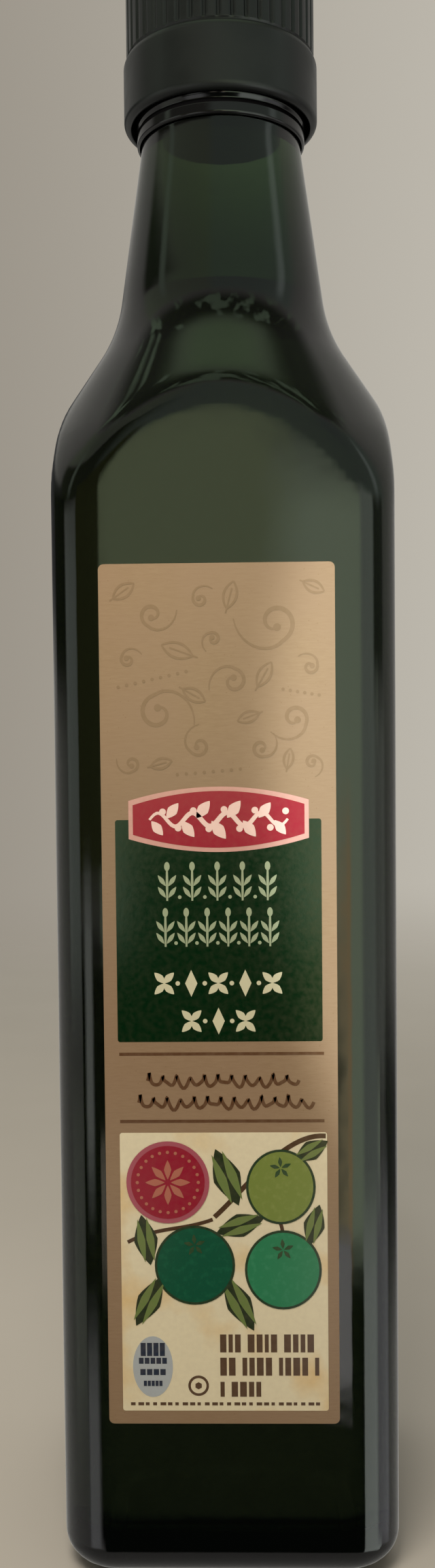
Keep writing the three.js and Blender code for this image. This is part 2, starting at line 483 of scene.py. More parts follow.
def ringOutline():
    low = ring["bottom"]
    edge, bore, ease, slope = (ring[key] for key in ("radius", "bore", "boreEase", "grooveSlope"))
    foot = low + ring["grooveFoot"]
    head = low + ring["grooveHead"]
    outline = [(bore, ring["top"]), (bore, low + ease), (bore + ease, low)]
    outline += quarterRound((edge - ring["round"], low + ring["round"]), ring["round"], -1, 6)
    outline += alongCurve([(edge, low + ring["round"] + 0.1), (edge, foot - 0.1)], 3)
    outline += [(edge, foot), (edge - ring["groove"], foot + slope), (edge - ring["groove"], head - slope)]
    return outline + [(edge, head), (edge, ring["top"]), (bore, ring["top"])]


# The same plastic, polished in the mould: a wet black shine
def makeRingPlastic():
    material, tree, spot = startMaterial("polypropyleneGlossBlack")
    cloud = addNode(tree, "TexNoise", {"Scale": 1 / mm(3), "Detail": 2.0, "Vector": spot})
    addSurface(tree, {
        "Base Color": colour(ring["colour"]),
        "IOR": 1.49,
        "Roughness": addNode(tree, "MapRange", {
            "Value": cloud, "To Min": ring["roughness"] - 0.03, "To Max": ring["roughness"] + 0.06,
        }),
    })
    return material


makePiece("neckRing", turned(ringOutline(), 160), makeRingPlastic(), "neck_ring")
print("stage 4: cap and ring are on")

# Paper label and its print. Places are mm on the front: x to the right, y up from the base.
labelLow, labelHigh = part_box("front_label")
label = {
    "left": labelLow.x * 1000,
    "right": labelHigh.x * 1000,
    "bottom": labelLow.z * 1000,
    "top": labelHigh.z * 1000,
    "glassFront": -glass["half"],
    "corner": 0.9,
    "fieldCorner": 0.4,
    "gap": 0.01,
    "paper": 0.06,
    "ink": 0.022,
    "hair": 0.0025,
    "hairs": 9,
    "kraft": "#977d65",
    "kraftDark": "#82674a",
    "kraftPale": "#a79071",
}
labelMiddle = (label["left"] + label["right"]) / 2


# Lays a flat drawing in XY on the front face, as a thin closed layer of its own thickness
def layOnFront(bm, lift, thickness):
    bmesh.ops.recalc_face_normals(bm, faces=bm.faces)
    for face in bm.faces:
        if face.normal.z < 0:
            face.normal_flip()
    made = bmesh.ops.extrude_face_region(bm, geom=list(bm.faces))["geom"]
    raised = [item for item in made if isinstance(item, bmesh.types.BMVert)]
    bmesh.ops.translate(bm, verts=raised, vec=(0, 0, thickness))
    bmesh.ops.recalc_face_normals(bm, faces=bm.faces)
    bmesh.ops.scale(bm, verts=bm.verts, vec=(mm(1), mm(1), mm(1)))
    bmesh.ops.transform(bm, matrix=Matrix.Rotation(math.pi / 2, 4, "X"), verts=bm.verts)
    bmesh.ops.translate(bm, verts=bm.verts, vec=(0, mm(label["glassFront"] - lift), 0))


# A hair's height of its own for each shape, so that crossing shapes never share a face
def ownLift(bm):
    return len(bm.faces) % label["hairs"] * label["hair"]


# One flat shape: a circle of few or many sides, stretched, pinched to points, turned and put in place
def addShape(bm, x, y, width, height, sides=24, turn=0.0, pinch=0.0):
    made = bmesh.ops.create_circle(bm, cap_ends=True, segments=sides, radius=0.5)["verts"]
    for vert in made:
        vert.co.y *= max(1 - abs(vert.co.x * 2), 0) ** pinch if pinch else 1
    bmesh.ops.scale(bm, verts=made, vec=(width, height, 1))
    bmesh.ops.rotate(bm, verts=made, cent=(0, 0, 0), matrix=Matrix.Rotation(turn, 3, "Z"))
    bmesh.ops.translate(bm, verts=made, vec=(x, y, ownLift(bm)))


# A rectangle, its corners rounded where a radius is given
def addPlate(bm, left, bottom, right, top, corner=0):
    made = bmesh.ops.create_grid(bm, x_segments=1, y_segments=1, size=0.5)["verts"]
    bmesh.ops.scale(bm, verts=made, vec=(right - left, top - bottom, 1))
    bmesh.ops.translate(bm, verts=made, vec=((left + right) / 2, (bottom + top) / 2, 0))
    if corner:
        bmesh.ops.bevel(
            bm, geom=made, offset=corner, segments=5, profile=0.5, affect="VERTICES", material=-1
        )


# A band of even width along a line of points
def addStroke(bm, points, width, taper=0.0):
    sides = []
    last = len(points) - 1
    lift = ownLift(bm)
    for i, point in enumerate(points):
        ahead = Vector(points[min(i + 1, last)]) - Vector(points[max(i - 1, 0)])
        across = Vector((-ahead.y, ahead.x)).normalized() * width / 2
        across *= 1 - taper * abs(2 * i / last - 1) ** 2
        here = Vector(point)
        sides.append([bm.verts.new((*(here + across), lift)), bm.verts.new((*(here - across), lift))])
    for a, b in zip(sides, sides[1:]):
        bm.faces.new((a[0], a[1], b[1], b[0]))


# Surface of paper or ink: a faint sheen, duller and shinier with its grain
def addPaperSurface(tree, shade, grain, shiny, dull):
    addSurface(tree, {
        "IOR": 1.5,
        "Base Color": shade,
        "Roughness": addNode(tree, "MapRange", {"Value": grain, "To Min": shiny, "To Max": dull}),
        "Normal": addNode(tree, "Bump", {"Strength": 0.08, "Distance": mm(0.03), "Height": grain}),
    })


# Printed ink on the kraft paper: paper fibres show through it, and it lies a little unevenly
def makeInk(name, hexCode, fibre=0.25, roughness=0.14):
    material, tree, spot = startMaterial(name)
    mottle = addNode(tree, "TexNoise", {"Scale": 1 / mm(0.9), "Detail": 5.0, "Vector": spot})
    share = addNode(tree, "MapRange", {
        "Value": mottle, "From Min": 0.35, "From Max": 0.75, "To Min": 0.0, "To Max": fibre,
    })
    shade = addNode(tree, "Mix", {
        "data_type": "RGBA", 0: share, 6: colour(hexCode), 7: colour(label["kraft"]),
    })
    addPaperSurface(tree, shade, mottle, roughness - 0.04, roughness + 0.06)
    return material


# Kraft paper, lightly coated: brown, with long fibres across it, a few dark specks and a faint sheen
def makeKraft():
    material, tree, spot = startMaterial("kraftPaperCoated")
    long = addNode(tree, "Mapping", {"Scale": (1, 1, 7), "Vector": spot})
    fibre = addNode(tree, "TexNoise", {
        "Scale": 1 / mm(2.4), "Detail": 6.0, "Roughness": 0.7, "Vector": long,
    })
    cloud = addNode(tree, "TexNoise", {"Scale": 1 / mm(11), "Detail": 3.0, "Vector": spot})
    base = addNode(tree, "Mix", {
        "data_type": "RGBA", 0: fibre, 6: colour(label["kraftDark"]), 7: colour(label["kraftPale"]),
    })
    tone = addNode(tree, "Mix", {"data_type": "RGBA", 0: cloud, 6: base, 7: colour(label["kraft"])})
    speck = addNode(tree, "TexVoronoi", {"Scale": 1 / mm(1.3), "Vector": spot})
    dark = addNode(tree, "MapRange", {
        "Value": speck, "From Min": 0.04, "From Max": 0.1, "To Min": 0.5, "To Max": 0.0,
    })
    specked = addNode(tree, "Mix", {"data_type": "RGBA", 0: dark, 6: tone, 7: colour(label["kraftDark"])})
    addPaperSurface(tree, specked, fibre, 0.14, 0.22)
    return material


paper = bmesh.new()
addPlate(paper, label["left"], label["bottom"], label["right"], label["top"], label["corner"])
layOnFront(paper, label["gap"], label["paper"])
makePiece("labelPaper", paper, makeKraft(), "front_label", smooth=False)


# Puts a drawing on the paper; each layer stands one ink thickness proud of the one before
def printLayer(name, bm, layer, material):
    layOnFront(bm, label["gap"] + label["paper"] + label["ink"] * layer, label["ink"])
    makePiece(name, bm, material, smooth=False)


# Upper part: tone on tone curls, leaf outlines and rows of dots, loosely strewn. A curl has its place, its
# size, where it opens in degrees, its sense and its line's width; a leaf its place, length, width and turn.
tonal = {
    "colour": "#876e53",
    "fibre": 0.35,
    "curls": (
        (8.4, 159.0, 5.0, 215, 1, 0.75), (-10.6, 144.6, 4.6, 20, 1, 0.7), (-11.4, 160.4, 3.0, -30, -1, 0.6),
        (1.6, 149.6, 3.1, 160, -1, 0.6), (11.4, 143.6, 3.3, 250, 1, 0.65), (-3.6, 162.8, 1.9, 80, 1, 0.5),
        (-1.6, 156.4, 1.7, 200, -1, 0.5), (14.0, 151.8, 1.9, 100, -1, 0.5), (6.0, 138.8, 2.3, 10, -1, 0.55),
        (-4.0, 139.2, 2.6, 130, 1, 0.55), (-15.0, 136.4, 1.9, 200, 1, 0.5), (14.2, 136.4, 1.8, -40, 1, 0.5),
        (-15.4, 153.2, 1.8, 60, 1, 0.5),
    ),
    "curlSteps": 45,
    "curlTurns": 1.32,
    "curlLead": 0.7,
    "curlReach": (1.35, 0.55, 0.62),  # at first, lost over the first quarter, lost over the whole
    "curlTaper": 0.7,
    "leaves": (
        (-16.0, 164.2, 4.2, 2.0, 35), (1.2, 163.4, 4.6, 2.1, 75), (14.6, 164.6, 3.8, 1.8, -25),
        (-7.4, 154.6, 5.4, 2.4, 160), (6.6, 150.6, 4.6, 2.0, 60), (-4.8, 147.4, 4.2, 1.9, -30),
        (4.0, 143.8, 3.8, 1.7, 200), (-10.2, 136.4, 3.6, 1.6, 15), (10.4, 137.0, 3.4, 1.5, 80),
    ),
    "leafLine": 0.42,
    "leafTaper": 0.4,
    "dots": (
        ((-17.0, 148.8), (-6.0, 151.2), 9), ((9.6, 148.2), (15.4, 147.2), 6),
        ((-7.6, 134.6), (2.6, 135.4), 8),
    ),
    "dot": 0.55,
}


# A curl winds in fast over its first quarter and then evenly
def curlPoints(x, y, size, opening, sense):
    made = []
    reach, early, even = tonal["curlReach"]
    for i in range(tonal["curlSteps"] + 1):
        share = i / tonal["curlSteps"]
        wound = fullTurn * tonal["curlTurns"] * share - tonal["curlLead"]
        turn = math.radians(opening) + sense * wound
        off = size * (reach - early * min(share * 4, 1) - even * share)
        made.append((x + off * math.cos(turn), y + off * math.sin(turn)))
    return made


# Leaf drawn as two bowed sides and a rib
def addLeafLines(bm, x, y, length, width, turn):
    ahead = Vector((math.cos(turn), math.sin(turn))) * length / 2
    across = Vector((-ahead.y, ahead.x)).normalized() * width
    foot = Vector((x, y)) - ahead
    tip = Vector((x, y)) + ahead
    for bow in (across, -across):
        side = alongCurve([foot, Vector((x, y)) + bow, tip], 16)
        addStroke(bm, side + [tip], tonal["leafLine"], tonal["leafTaper"])
    addStroke(bm, [foot - ahead * 0.3, tip - ahead * 0.5], tonal["leafLine"], tonal["leafTaper"])


def drawTonal():
    bm = bmesh.new()
    for x, y, size, opening, sense, line in tonal["curls"]:
        points = curlPoints(x, y, size, opening, sense)
        addStroke(bm, points, line, tonal["curlTaper"])
        addShape(bm, *points[-1], line * 1.7, line * 1.7, 14)
    for x, y, length, width, turn in tonal["leaves"]:
        addLeafLines(bm, x, y, length, width, math.radians(turn))
    for start, end, count in tonal["dots"]:
        for i in range(count):
            place = Vector(start).lerp(Vector(end), i / (count - 1))
            addShape(bm, place.x, place.y, tonal["dot"], tonal["dot"], 10)
    printLayer("tonalDrawing", bm, 0, makeInk("inkTonalBrown", tonal["colour"], tonal["fibre"]))


drawTonal()

# Middle: a red plaque over a green panel with rows of plain ornaments
panel = {"left": -17.8, "right": 15.6, "bottom": 91.0, "top": 127.3, "colour": "#03240c"}
plaque = {
    "left": -15.6, "right": 13.6, "bottom": 122.0, "top": 132.6, "border": 0.7, "swell": 2.2,
    "colour": "#9c1530", "borderColour": "#d6a498", "garlandColour": "#f7d6cb",
}
garland = {
    "reach": 11.2, "beats": 4, "rise": 1.1, "line": 0.8, "taper": 0.5,
    "leaves": 9, "leaf": (3.7, 2.0), "leafOff": 1.7, "leafTurn": 0.9, "shrink": 0.05,
    "berry": 1.1, "berryOff": 1.6, "berryAhead": 0.9,
}


def drawPanel():
    bm = bmesh.new()
    addPlate(bm, panel["left"], panel["bottom"], panel["right"], panel["top"], label["fieldCorner"])
    printLayer("greenPanel", bm, 0, makeInk("inkBottleGreen", panel["colour"], 0.03, 0.09))


# The plaque's outline, drawn in by an inset: a plate whose long edges swell in the middle
def swollenPlate(inset):
    bm = bmesh.new()
    count = 24
    left = plaque["left"] + inset
    right = plaque["right"] - inset
    middle = (left + right) / 2
    half = (right - left) / 2
    rows = []
    for i in range(count + 1):
        x = left + (right - left) * i / count
        drop = inset + plaque["swell"] * ((x - middle) / half) ** 2
        ends = (plaque["top"] - drop, plaque["bottom"] + drop)
        rows.append([bm.verts.new((x, y, 0)) for y in ends])
    for a, b in zip(rows, rows[1:]):
        bm.faces.new((a[0], a[1], b[1], b[0]))
    return bm


# Points of a wave from left to right; lean tips it over, and uneven makes some beats lower than others
def wavePoints(left, right, y, rise, beats, lean=0.0, uneven=0.0):
    made = []
    steps = beats * 14
    for i in range(steps + 1):
        share = i / steps
        turn = fullTurn * beats * share
        height = rise * (1 - uneven + uneven * math.sin(turn * 0.37 + 1) * math.sin(turn * 0.83))
        made.append((left + (right - left) * share + lean * math.cos(turn), y + height * math.sin(turn)))
    return made


def drawGarland():
    bm = bmesh.new()
    y = (plaque["bottom"] + plaque["top"]) / 2
    left = labelMiddle - garland["reach"]
    right = labelMiddle + garland["reach"]
    points = wavePoints(left, right, y, garland["rise"], garland["beats"])
    addStroke(bm, points, garland["line"], garland["taper"])
    width, height = garland["leaf"]
    for step in range(garland["leaves"]):
        x = left + (right - left) * (step + 0.5) / garland["leaves"]
        way = 1 if step % 2 else -1
        size = 1.0 - garland["shrink"] * abs(step - garland["leaves"] // 2)  # smaller towards both ends
        leafY = y + way * garland["leafOff"] * size
        addShape(bm, x, leafY, width * size, height * size, 28, way * garland["leafTurn"], 0.4)
        berryY = y - way * garland["berryOff"] * size
        addShape(bm, x + garland["berryAhead"], berryY, garland["berry"], garland["berry"], 16)
    return bm


def drawPlaque():
    printLayer("plaqueBorder", swollenPlate(0), 1, makeInk("inkRoseCream", plaque["borderColour"], 0.15))
    field = swollenPlate(plaque["border"])
    printLayer("plaqueField", field, 2, makeInk("inkDeepRed", plaque["colour"], 0.06))
    printLayer("plaqueGarland", drawGarland(), 3, makeInk("inkPaleRose", plaque["garlandColour"], 0.08))


# Rows of ornaments: tall thin sprigs with a dot between them, then bold flowers and lozenges by turns
sprigs = {
    "rows": ((117.1, 5), (109.6, 6)), "across": 20.4, "colour": "#a3b08f",
    "foot": 3.0, "head": 2.2, "line": 0.42, "taper": 0.3, "bud": (0.9, 1.5), "budHeight": 2.6,
    "leaf": (2.2, 0.75), "leafOff": 0.85, "leafHeights": (-1.6, 0.3), "leafTurn": 0.95,
    "dot": 0.6, "dotHeight": -2.4,
}
flowers = {
    "rows": ((100.6, 5), (94.4, 3)), "pitch": 4.4, "colour": "#d9d6b4",
    "lozenge": (2.0, 4.4), "petals": 4, "petal": (2.5, 1.2), "petalOff": (1.0, 1.25), "dot": 0.75,
}
ornamentMiddle = labelMiddle - 0.3


def addSprig(bm, x, y):
    stem = [(x, y - sprigs["foot"]), (x, y), (x, y + sprigs["head"])]
    addStroke(bm, stem, sprigs["line"], sprigs["taper"])
    addShape(bm, x, y + sprigs["budHeight"], *sprigs["bud"], 16)
    for height in sprigs["leafHeights"]:
        for way in (-1, 1):
            turn = way * sprigs["leafTurn"] + (way < 0) * math.pi
            addShape(bm, x + way * sprigs["leafOff"], y + height, *sprigs["leaf"], 20, turn, 0.4)


def addFlower(bm, x, y):
    for i in range(flowers["petals"]):
        turn = fullTurn * (i + 0.5) / flowers["petals"]
        petalX = x + flowers["petalOff"][0] * math.cos(turn)
        petalY = y + flowers["petalOff"][1] * math.sin(turn)
        addShape(bm, petalX, petalY, *flowers["petal"], 20, turn, 0.35)


def drawPanelOrnaments():
    thin = bmesh.new()
    for y, count in sprigs["rows"]:
        pitch = sprigs["across"] / count
        for step in range(count):
            x = ornamentMiddle + (step - (count - 1) / 2) * pitch
            addSprig(thin, x, y)
            if step + 1 < count:
                addShape(thin, x + pitch / 2, y + sprigs["dotHeight"], sprigs["dot"], sprigs["dot"], 12)
    printLayer("panelThinOrnaments", thin, 1, makeInk("inkGreyCream", sprigs["colour"], 0.08))
    bold = bmesh.new()
    for y, count in flowers["rows"]:
        for step in range(count):
            x = ornamentMiddle + (step - (count - 1) / 2) * flowers["pitch"]
            if step % 2:
                addShape(bold, x, y, *flowers["lozenge"], 4)
            else:
                addFlower(bold, x, y)
            if step + 1 < count:
                addShape(bold, x + flowers["pitch"] / 2, y, flowers["dot"], flowers["dot"], 14)
    printLayer("panelBoldOrnaments", bold, 1, makeInk("inkCream", flowers["colour"], 0.08))


drawPanel()
drawPlaque()
drawPanelOrnaments()

# Between the panels: two rules and two rows of a fine wavy line. A wave has its height, ends and beats.
rules = {
    "left": -17.6, "right": 15.8, "heights": (89.0, 77.9), "line": 0.5, "colour": "#5e4029",
    "waves": ((84.6, -13.3, 11.4, 11), (81.0, -14.8, 13.8, 13)),
    "rise": 1.35, "lean": 0.3, "uneven": 0.4, "waveLine": 0.56,
}


def drawRules():
    bm = bmesh.new()
    for y in rules["heights"]:
        addStroke(bm, [(rules["left"], y), (rules["right"], y)], rules["line"])
    for y, left, right, beats in rules["waves"]:
        points = wavePoints(left, right, y, rules["rise"], beats, rules["lean"], rules["uneven"])
        addStroke(bm, points, rules["waveLine"])
    printLayer("brownRules", bm, 0, makeInk("inkDarkBrown", rules["colour"], 0.15))


drawRules()

# Picture: round fruit and broad leaves on cream. Twigs: steps, width, control points. Fruit: place, size
# across and up, lit colour, deep colour. Leaves: place, length, width, turn in degrees.
picture = {
    "left": -17.7, "right": 16.2, "bottom": 29.6, "top": 76.0, "cream": "#f2e8c6", "warm": "#e9c27a",
    "twigs": (
        (24, 0.8, (16.0, 75.4), (9.0, 76.0), (2.5, 66.0), (-3.0, 61.4)),
        (20, 0.6, (-2.6, 61.6), (-8.0, 59.6), (-12.0, 60.6), (-17.4, 57.4)),
        (16, 0.6, (4.4, 64.6), (9.0, 62.0), (8.8, 60.5), (8.9, 58.0)),
    ),
    "twigColour": "#4c3420",
    "fruit": (
        ("Lime", (8.6, 67.0), (10.6, 11.6), "#c3c987", "#7b8c42"),
        ("Teal", (-5.6, 54.0), (12.4, 12.4), "#35a072", "#0a5239"),
        ("Green", (8.9, 53.2), (11.8, 12.4), "#74c79b", "#2a8257"),
    ),
    "rim": 0.8,
    "rimColour": "#1f3a22",
    "starLeaves": 5,
    "starLeaf": (1.7, 0.7),
    "starOff": 1.0,
    "starRise": 0.27,  # above the fruit's middle, as a share of its height
    "starTurn": 0.4,
    "starColour": "#2b4a2c",
    "leaves": (
        (-0.2, 68.6, 9.4, 3.9, 112), (1.9, 60.6, 7.6, 3.2, 18), (-13.6, 58.2, 7.8, 3.2, 100),
        (14.0, 60.6, 6.4, 2.8, 75), (1.6, 47.6, 9.6, 3.5, -62), (-13.2, 48.0, 8.6, 3.3, -118),
        (13.6, 73.0, 5.6, 2.6, 30),
    ),
    "leafEdge": 0.7,
    "leafHalf": (0.93, 0.4, 0.235),  # length, width and place of each half, as shares of the leaf
    "leafColour": "#6f8347",
    "leafEdgeColour": "#26331c",
}


# Cream ground, printed as a soft wash that turns yellow and orange in places
def makeWash():
    material, tree, spot = startMaterial("inkCreamWash")
    cloud = addNode(tree, "TexNoise", {"Scale": 1 / mm(13), "Detail": 3.0, "Vector": spot})
    share = addNode(tree, "MapRange", {"Value": cloud, "From Min": 0.52, "From Max": 0.74})
    wash = addNode(tree, "Mix", {
        "data_type": "RGBA", 0: share, 6: colour(picture["cream"]), 7: colour(picture["warm"]),
    })
    fine = addNode(tree, "TexNoise", {"Scale": 1 / mm(0.8), "Detail": 4.0, "Vector": spot})
    grain = addNode(tree, "MapRange", {"Value": fine, "To Min": 0.0, "To Max": 0.2})
    addSurface(tree, {
        "IOR": 1.5,
        "Base Color": addNode(tree, "Mix", {
            "data_type": "RGBA", 0: grain, 6: wash, 7: colour(label["kraft"]),
        }),
        "Roughness": addNode(tree, "MapRange", {"Value": fine, "To Min": 0.12, "To Max": 0.2}),
    })
    return material


# Ink of one fruit: lit towards its upper left and deep round its edge, with a brushed grain
def makeFruitInk(name, centre, size, lit, deep):
    material, tree, spot = startMaterial("inkFruit" + name)
    place = (mm(centre[0] - size[0] * 0.17), 0, mm(centre[1] + size[1] * 0.17))
    away = addNode(tree, "VectorMath", {"operation": "DISTANCE", 0: spot, 1: place})
    grain = addNode(tree, "TexNoise", {"Scale": 1 / mm(1.1), "Detail": 3.0, "Vector": spot})
    level = addNode(tree, "MapRange", {
        "Value": away, "From Min": mm(size[0] * 0.05), "From Max": mm(size[0] * 0.62),
    })
    brushed = addNode(tree, "Math", {"operation": "MULTIPLY_ADD", 0: grain, 1: 0.5, 2: -0.25})
    share = addNode(tree, "Math", {"use_clamp": True, 0: level, 1: brushed})
    shade = addNode(tree, "Mix", {"data_type": "RGBA", 0: share, 6: colour(lit), 7: colour(deep)})
    addSurface(tree, {"IOR": 1.5, "Roughness": 0.15, "Base Color": shade})
    return material


# Each leaf is two light halves on a dark ground, which shows as its edge and its rib
def drawLeaves():
    dark = bmesh.new()
    light = bmesh.new()
    edge = picture["leafEdge"]
    long, wide, apart = picture["leafHalf"]
    for x, y, length, width, degrees in picture["leaves"]:
        turn = math.radians(degrees)
        addShape(dark, x, y, length + edge, width + edge, 40, turn, 0.45)
        for side in (-1, 1):
            off = side * width * apart
            halfX = x - off * math.sin(turn)
            halfY = y + off * math.cos(turn)
            addShape(light, halfX, halfY, length * long, width * wide, 36, turn, 0.5)
    printLayer("pictureLeafEdges", dark, 2, makeInk("inkLeafDark", picture["leafEdgeColour"], 0.08))
    printLayer("pictureLeaves", light, 3, makeInk("inkLeafLight", picture["leafColour"], 0.12))


# A wreath of one shape, each pointing away from the middle
def addWreath(bm, centre, count, size, off, sides, pinch=0.0, start=0.0):
    for i in range(count):
        turn = fullTurn * i / count + start
        x = centre[0] + off * math.cos(turn)
        y = centre[1] + off * math.sin(turn)
        addShape(bm, x, y, *size, sides, turn if pinch else 0, pinch)


def drawPicture():
    ground = bmesh.new()
    edges = [picture[key] for key in ("left", "bottom", "right", "top")]
    addPlate(ground, *edges, label["fieldCorner"])
    printLayer("pictureGround", ground, 0, makeWash())
    twigs = bmesh.new()
    for steps, width, *controls in picture["twigs"]:
        addStroke(twigs, alongCurve(controls, steps), width)
    printLayer("pictureTwigs", twigs, 1, makeInk("inkTwigBrown", picture["twigColour"], 0.1))
    drawLeaves()
    rims = bmesh.new()
    stars = bmesh.new()
    for name, centre, size, lit, deep in picture["fruit"]:
        addShape(rims, *centre, size[0] + picture["rim"], size[1] + picture["rim"], 44)
        body = bmesh.new()
        addShape(body, *centre, *size, 44)
        printLayer("pictureFruit" + name, body, 4, makeFruitInk(name, centre, size, lit, deep))
        middle = (centre[0], centre[1] + size[1] * picture["starRise"])
        addWreath(
            stars, middle, picture["starLeaves"], picture["starLeaf"], picture["starOff"], 10, 0.5,
            picture["starTurn"],
        )
    printLayer("pictureFruitRims", rims, 3, makeInk("inkFruitRim", picture["rimColour"], 0.08))
    printLayer("pictureFruitStars", stars, 5, makeInk("inkFruitStar", picture["starColour"], 0.08))


# Red disc in the picture's upper left, with a rosette of petals in a ring of dots
disc = {
    "place": (-9.9, 67.8), "across": 13.6, "edge": 0.75,
    "petals": 8, "petal": (3.2, 1.2), "petalOff": 2.1, "dots": 24, "dot": (0.55, 0.55), "dotOff": 5.0,
    "edgeColour": "#ad5565", "colour": "#981530", "rosetteColour": "#b9705c",
}


def drawDisc():
    edge = bmesh.new()
    addShape(edge, *disc["place"], disc["across"], disc["across"], 56)
    printLayer("discEdge", edge, 4, makeInk("inkDustyRose", disc["edgeColour"], 0.12))
    field = bmesh.new()
    inner = disc["across"] - 2 * disc["edge"]
    addShape(field, *disc["place"], inner, inner, 56)
    printLayer("discField", field, 5, makeInk("inkCrimson", disc["colour"], 0.06))
    rosette = bmesh.new()
    addWreath(rosette, disc["place"], disc["petals"], disc["petal"], disc["petalOff"], 18, 0.5)
    addWreath(rosette, disc["place"], disc["dots"], disc["dot"], disc["dotOff"], 10)
    printLayer("discRosette", rosette, 6, makeInk("inkRosette", disc["rosetteColour"], 0.1))


# A pale badge with rows of small bars, given by width and height
badge = {
    "place": (-12.7, 37.0), "size": (6.6, 10.2), "colour": "#b4bcc0", "barColour": "#2c3648",
    "rows": ((4.2, 2.2), (4.8, 1.0), (4.4, 1.0), (3.2, 0.9)), "rowsTop": 39.9, "rowPitch": 1.9, "bar": 0.8,
}
# Beside it a small circle, and rows of upright bars: middle height, bars' height, left, right, rhythm
marks = {
    "circle": (-5.2, 33.8), "circleRadius": 1.5, "circleLine": 0.42, "dot": 1.2, "colour": "#5c4634",
    "rows": ((40.9, 3.0, -1.6, 14.2, 1), (37.0, 3.0, -1.6, 14.9, 2), (33.2, 2.5, -1.6, 6.2, 3)),
    "bar": 0.62, "barSpread": 0.5, "gap": 0.36, "wideGap": 1.15,
    "footBar": 0.75, "footBarSpread": 0.2, "footCount": 26, "footLeft": -16.4, "footPitch": 1.22,
    "footBottom": 30.5, "footTop": 31.0,
}


def drawBadge():
    bm = bmesh.new()
    addShape(bm, *badge["place"], *badge["size"], 36)
    printLayer("paleBadge", bm, 1, makeInk("inkPaleBlue", badge["colour"], 0.1))
    bars = bmesh.new()
    for row, (wide, tall) in enumerate(badge["rows"]):
        y = badge["rowsTop"] - row * badge["rowPitch"]
        count = 4 + row % 2
        half = wide / count * badge["bar"] / 2
        for i in range(count):
            x = badge["place"][0] + wide * ((i + 0.5) / count - 0.5)
            addPlate(bars, x - half, y - tall / 2, x + half, y + tall / 2)
    printLayer("badgeBars", bars, 2, makeInk("inkDeepBlue", badge["barColour"], 0.1))


def drawMarks():
    bm = bmesh.new()
    x, y = marks["circle"]
    turns = [fullTurn * i / 32 for i in range(33)]
    radius = marks["circleRadius"]
    circle = [(x + radius * math.cos(turn), y + radius * math.sin(turn)) for turn in turns]
    addStroke(bm, circle, marks["circleLine"])
    addShape(bm, x, y, marks["dot"], marks["dot"], 6)
    for y, tall, x, right, rhythm in marks["rows"]:
        count = 0
        while x < right:
            wide = marks["bar"] + marks["barSpread"] * abs(math.sin(count * 2.3 + rhythm))
            addPlate(bm, x, y - tall / 2, x + wide, y + tall / 2)
            x += wide + (marks["wideGap"] if (count + rhythm) % 4 == 3 else marks["gap"])
            count += 1
    for i in range(marks["footCount"]):
        x = marks["footLeft"] + i * marks["footPitch"]
        wide = marks["footBar"] + marks["footBarSpread"] * math.sin(i * 1.9)
        addPlate(bm, x, marks["footBottom"], x + wide, marks["footTop"])
    printLayer("smallPrintBars", bm, 1, makeInk("inkPrintBrown", marks["colour"], 0.1))


drawPicture()
drawDisc()
drawBadge()
drawMarks()
print("stage 5: the label is printed")

# Floor: a pale sheet that fades into the backdrop far from the bottle, so that no edge shows
floor = {"radius": 2.2, "fadeFrom": 0.18, "fadeTo": 1.0, "colour": "#c1bcb1", "spotted": "#b9b4a9"}


# Matt studio paper, plain and pale
def makeStudioPaper():
    material, tree, spot = startMaterial("studioPaperMatt")
    cloud = addNode(tree, "TexNoise", {"Scale": 1 / mm(60), "Detail": 3.0, "Vector": spot})
    shade = addNode(tree, "Mix", {
        "data_type": "RGBA", 0: cloud, 6: colour(floor["colour"]), 7: colour(floor["spotted"]),
    })
    sheet = addNode(tree, "BsdfPrincipled", {
        "Base Color": shade, "Roughness": 0.9, "Specular IOR Level": 0.1,
    })
    away = addNode(tree, "VectorMath", {"operation": "LENGTH", 0: spot})
    fade = addNode(tree, "MapRange", {
        "interpolation_type": "SMOOTHSTEP", "Value": away,
        "From Min": floor["fadeFrom"], "From Max": floor["fadeTo"],
    })
    mixed = addNode(tree, "MixShader", {0: fade, 1: sheet, 2: addNode(tree, "BsdfTransparent")})
    addNode(tree, "OutputMaterial", {"Surface": mixed})
    return material


def makeFloor():
    bm = bmesh.new()
    bmesh.ops.create_circle(bm, cap_ends=True, segments=96, radius=floor["radius"])
    mesh = bpy.data.meshes.new("floorSheet")
    bm.to_mesh(mesh)
    bm.free()
    mesh.materials.append(makeStudioPaper())
    sheet = bpy.data.objects.new("floorSheet", mesh)
    bpy.context.scene.collection.objects.link(sheet)
    sheet.visible_glossy = False  # the glass mirrors the room below instead


